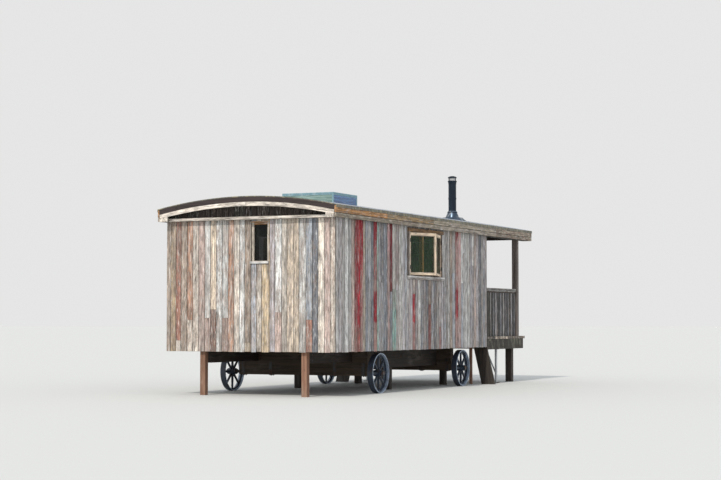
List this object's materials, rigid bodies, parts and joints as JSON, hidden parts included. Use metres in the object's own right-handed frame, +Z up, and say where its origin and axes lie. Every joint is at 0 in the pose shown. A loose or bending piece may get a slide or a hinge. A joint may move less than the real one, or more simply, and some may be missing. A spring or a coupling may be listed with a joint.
{
  "type": "shepherds hut",
  "caption": "Shepherds hut: a board-clad cabin with a bowed roof, casement windows, rooflight, flue and covered porch, standing on posts and cast iron wheels.",
  "frame": {"origin": "on the ground, under the middle of the roof's length and width", "axes": "+X along the hut towards the porch, +Y away from the long side with the main window, +Z up"},
  "size_m": [9.2, 3.6202, 4.02],
  "materials": {
    "red_brown_post": "stained sawn posts",
    "dark_timber": "dark sawn timber",
    "iron": "weathered blue-grey paint on cast iron",
    "deck_timber": "bare deck boards",
    "reclaimed_board": "weathered reclaimed boards with worn paint",
    "new_timber": "pale new softwood",
    "pale_trim": "pale weathered trim",
    "window_glass": "clear window glass",
    "roof_grey": "light grey-blue sheet roofing",
    "fascia_brown": "orange-brown weathered board",
    "fascia_grey": "grey weathered board",
    "galvanised": "galvanised steel",
    "rooflight_glass": "blue-green glazing",
    "flue_black": "black enamelled flue"
  },
  "bodies": {
    "hut": {"end_posts": "red_brown_post", "rail_posts": "dark_timber", "slim_props": "red_brown_post", "chassis_rails": "dark_timber", "rail_packers": "dark_timber", "axle_beds": "dark_timber", "axle_1": "iron", "axle_2": "iron", "floor_joists": "dark_timber", "floor_deck": "deck_timber", "near_wall": "reclaimed_board", "far_wall": "reclaimed_board", "end_wall": "reclaimed_board", "porch_wall": "reclaimed_board", "door_frame": "new_timber", "door_leaf": "reclaimed_board", "near_window_frame": "pale_trim", "near_window_sashes": "new_timber", "near_window_glass": "window_glass", "far_window_frame": "pale_trim", "far_window_sashes": "new_timber", "far_window_glass": "window_glass", "end_window_frame": "pale_trim", "end_window_glass": "window_glass", "roof_deck": "dark_timber", "roof_cover": "roof_grey", "upper_fascias": "fascia_brown", "lower_fascias": "fascia_grey", "eave_boards": "fascia_grey", "bargeboards": "pale_trim", "end_ledge": "pale_trim", "rooflight_kerb": "galvanised", "rooflight_lid": "rooflight_glass", "flue_pipe": "flue_black", "flue_cowl": "flue_black", "flue_flashing": "galvanised", "porch_frame": "dark_timber", "porch_deck": "deck_timber", "under_posts": "dark_timber", "tube_props": "galvanised", "raking_boards": "dark_timber", "corner_posts": "dark_timber", "porch_beams": "dark_timber", "balustrade_near": "fascia_grey", "balustrade_far": "fascia_grey"},
    "wheel_1_near": {"wheel_1_near": "iron"},
    "wheel_1_far": {"wheel_1_far": "iron"},
    "wheel_2_near": {"wheel_2_near": "iron"},
    "wheel_2_far": {"wheel_2_far": "iron"}
  },
  "joints": [
    {"name": "wheel_1_near_spin", "type": "hinge", "parent": "hut", "child": "wheel_1_near", "pos_m": [-2.48, -1.415, 0.34], "axis": [0, 1, 0], "continuous": true},
    {"name": "wheel_1_far_spin", "type": "hinge", "parent": "hut", "child": "wheel_1_far", "pos_m": [-2.48, 1.415, 0.34], "axis": [0, 1, 0], "continuous": true},
    {"name": "wheel_2_near_spin", "type": "hinge", "parent": "hut", "child": "wheel_2_near", "pos_m": [1.25, -1.415, 0.34], "axis": [0, 1, 0], "continuous": true},
    {"name": "wheel_2_far_spin", "type": "hinge", "parent": "hut", "child": "wheel_2_far", "pos_m": [1.25, 1.415, 0.34], "axis": [0, 1, 0], "continuous": true}
  ]
}
